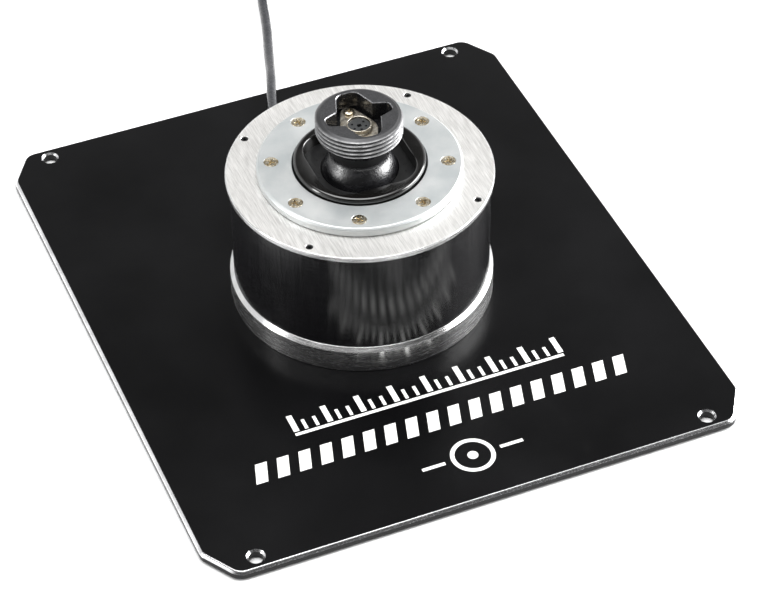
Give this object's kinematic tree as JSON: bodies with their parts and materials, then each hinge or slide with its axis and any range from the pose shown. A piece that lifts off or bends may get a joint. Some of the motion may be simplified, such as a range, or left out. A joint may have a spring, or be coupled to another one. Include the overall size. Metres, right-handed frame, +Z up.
{
  "type": "flight joystick base",
  "caption": "Flight joystick base: square plate, round housing with a ball-jointed, spring-centred stick that ends in a threaded neck with a socket for a grip, and a USB lead.",
  "frame": {"origin": "bottom centre of the mounting plate's pads, where the part stands, on the axis of the housing", "axes": "+Z up along the housing's axis at rest, +X to the right along the plate's short side, +Y to the back along its long side, where the USB lead leaves"},
  "size_m": [0.2346, 0.4094, 0.0955],
  "materials": {
    "plate": "satin black coat with bright bevelled edge",
    "pads": "matte",
    "black_anodised": "gloss black anodised",
    "turned_aluminium": "brushed, turned",
    "satin_aluminium": "satin with polished edge",
    "yellow_zinc": "yellow passivated zinc",
    "black_steel": "black oxide",
    "gloss_plastic": "gloss",
    "slick_plastic": "smooth low-friction plastic",
    "ball": "semi-gloss, greased",
    "neck": "dark machined, bright thread crests",
    "steel": "machined",
    "nickel": "satin nickel",
    "dark_insert": "matte",
    "spring_steel": "drawn wire",
    "magnet": "nickel plated",
    "board": "solder mask",
    "chip": "matte",
    "white_plastic": "matte",
    "ribbon": "matte",
    "cable": "smooth, slightly glossy",
    "cable_rubber": "moulded",
    "tie": "hook and loop tape"
  },
  "bodies": {
    "base": {"mounting_plate": "plate", "plate_pads": "pads", "plate_screws": "black_steel", "base_disc": "turned_aluminium", "tube_screws": "black_steel", "housing_tube": "black_anodised", "top_ring": "turned_aluminium", "ring_screws": "black_steel", "retaining_ring": "satin_aluminium", "retaining_screws": "yellow_zinc", "gate_bezel": "gloss_plastic", "upper_seat": "slick_plastic", "ball_socket": "slick_plastic", "spring_seat": "slick_plastic", "seat_screws": "steel", "main_spring": "spring_steel", "side_springs": "spring_steel", "sensor_board": "board", "hall_sensor": "chip", "sensor_screws": "steel", "sensor_ribbon": "ribbon", "board_bracket": "steel", "bracket_screws": "steel", "controller_board": "board", "controller_chips": "chip", "board_headers": "white_plastic", "inner_cable": "cable", "connector_lead": "cable", "strain_relief": "cable_rubber", "usb_cable": "cable", "usb_coil": "cable", "coil_tie": "tie", "usb_plug_housing": "cable_rubber", "usb_plug_shell": "nickel"},
    "guide_bail": {"guide_bail": "steel"},
    "stick": {"pivot_ball": "ball", "threaded_neck": "neck", "shaft": "steel", "spring_disc": "turned_aluminium", "disc_nut": "steel", "magnet_holder": "slick_plastic", "magnet": "magnet", "connector_flange": "nickel", "connector_shell": "nickel", "connector_insert": "dark_insert", "connector_screws": "steel"}
  },
  "joints": [
    {"name": "pitch", "type": "hinge", "parent": "base", "child": "guide_bail", "pos_m": [0, 0, 0.0633], "axis": [1, 0, 0], "range_deg": [-20, 20], "stiffness_Nm_per_rad": 1.5, "deforming": ["main_spring", "side_springs", "connector_lead"]},
    {"name": "roll", "type": "hinge", "parent": "guide_bail", "child": "stick", "pos_m": [0, 0, 0.0633], "axis": [0, 1, 0], "range_deg": [-20, 20], "stiffness_Nm_per_rad": 1.5, "deforming": ["main_spring", "side_springs", "connector_lead"]}
  ]
}
